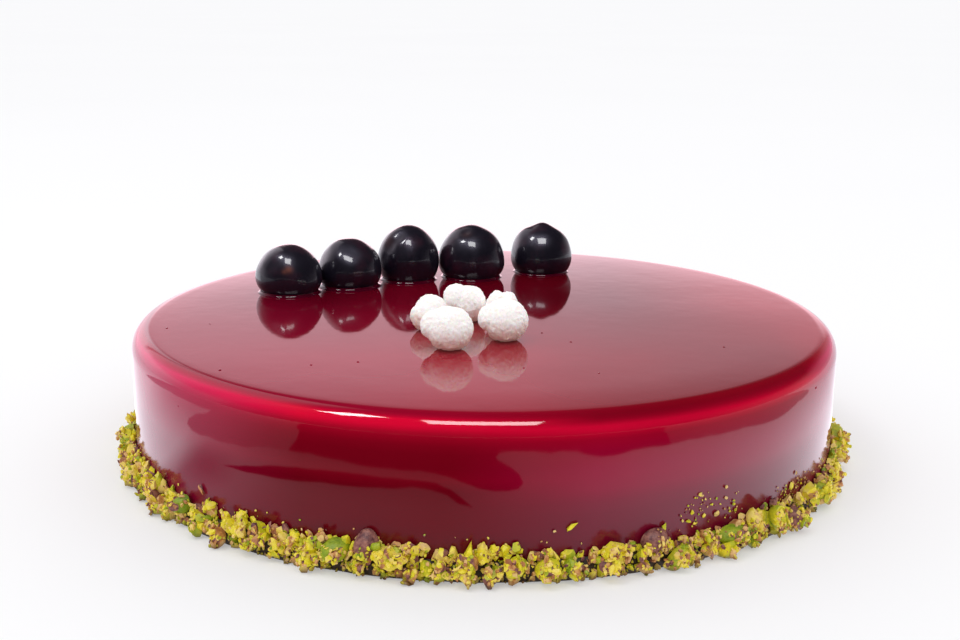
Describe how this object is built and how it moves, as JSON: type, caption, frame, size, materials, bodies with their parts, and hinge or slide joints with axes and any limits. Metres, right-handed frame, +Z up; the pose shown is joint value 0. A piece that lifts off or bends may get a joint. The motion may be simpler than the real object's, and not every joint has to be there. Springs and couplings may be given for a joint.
{
  "type": "berry cake",
  "caption": "Round mirror-glazed berry cake with a row of dark cherries, small meringue puffs, and chopped pistachios round its foot.",
  "frame": {"origin": "middle of the cake's base, on the surface that it stands on", "axes": "+Z up, -Y the front where the puffs lie, +X to the right seen from the front"},
  "size_m": [0.2174, 0.2159, 0.0569],
  "materials": {
    "mirror_glaze": "wet, mirror-bright crimson glaze",
    "syrup_cherry": "black-purple skin, glossy with syrup",
    "meringue": "dry, white and finely pitted",
    "pistachio": "chopped green and yellow kernels with purple-brown skins"
  },
  "bodies": {
    "root": {"cake_body": "mirror_glaze", "pistachio_band": "pistachio", "cherry_1": "syrup_cherry", "cherry_2": "syrup_cherry", "cherry_3": "syrup_cherry", "cherry_4": "syrup_cherry", "cherry_5": "syrup_cherry", "meringue_1": "meringue", "meringue_2": "meringue", "meringue_3": "meringue", "meringue_4": "meringue", "meringue_5": "meringue"}
  },
  "joints": []
}
